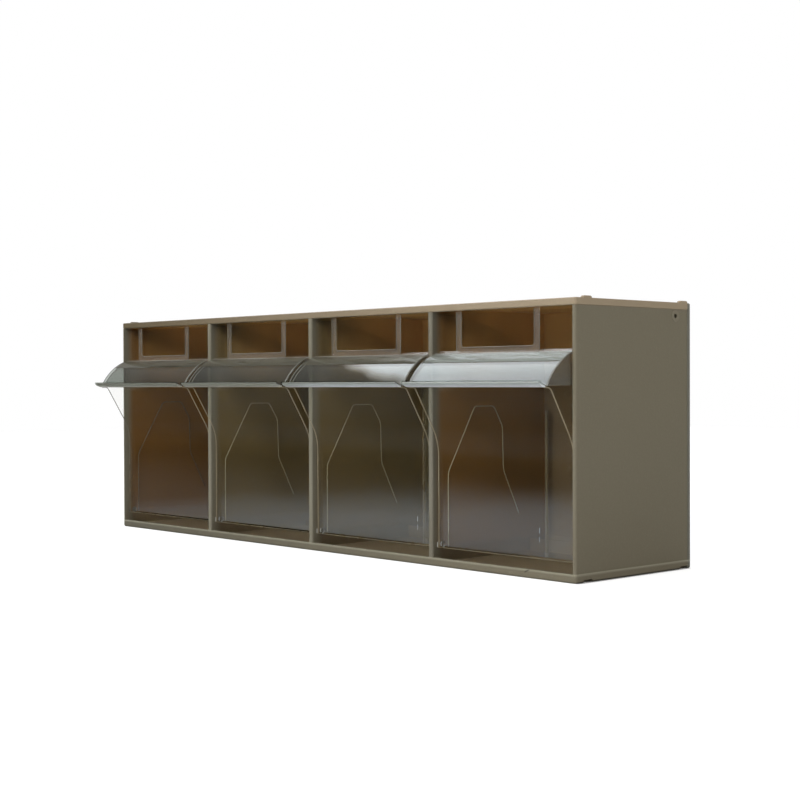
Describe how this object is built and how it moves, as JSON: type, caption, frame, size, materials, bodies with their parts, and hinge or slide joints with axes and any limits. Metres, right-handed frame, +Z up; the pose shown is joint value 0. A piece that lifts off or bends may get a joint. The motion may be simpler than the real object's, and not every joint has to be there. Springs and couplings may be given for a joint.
{
  "type": "tilt out bin cabinet",
  "caption": "Low plastic cabinet of side-by-side clear tilt-out bins, each hinged at its foot, with a label frame, curved canopy and pull lip.",
  "frame": {"origin": "on the table, at the middle of the cabinet's base", "axes": "+X to the right along the row of bins, the front with the bins' noses faces -Y, +Z up"},
  "size_m": [0.6, 0.1695, 0.2064],
  "materials": {
    "housing_plastic": "fine satin grain, warm grey",
    "clear_plastic": "polished, crystal clear"
  },
  "bodies": {
    "housing": {"base_panel": "housing_plastic", "roof_panel": "housing_plastic", "left_end_panel": "housing_plastic", "right_end_panel": "housing_plastic", "back_panel": "housing_plastic", "partition_1": "housing_plastic", "partition_2": "housing_plastic", "partition_3": "housing_plastic"},
    "tilt_bin_1": {"bin_1": "clear_plastic"},
    "tilt_bin_2": {"bin_2": "clear_plastic"},
    "tilt_bin_3": {"bin_3": "clear_plastic"},
    "tilt_bin_4": {"bin_4": "clear_plastic"}
  },
  "joints": [
    {"name": "bin_1_tilt", "type": "hinge", "parent": "housing", "child": "tilt_bin_1", "pos_m": [-0.2247, -0.056, 0.0165], "axis": [1, 0, 0], "range_deg": [0, 38]},
    {"name": "bin_2_tilt", "type": "hinge", "parent": "housing", "child": "tilt_bin_2", "pos_m": [-0.0749, -0.056, 0.0165], "axis": [1, 0, 0], "range_deg": [0, 38]},
    {"name": "bin_3_tilt", "type": "hinge", "parent": "housing", "child": "tilt_bin_3", "pos_m": [0.0749, -0.056, 0.0165], "axis": [1, 0, 0], "range_deg": [0, 38]},
    {"name": "bin_4_tilt", "type": "hinge", "parent": "housing", "child": "tilt_bin_4", "pos_m": [0.2247, -0.056, 0.0165], "axis": [1, 0, 0], "range_deg": [0, 38]}
  ]
}
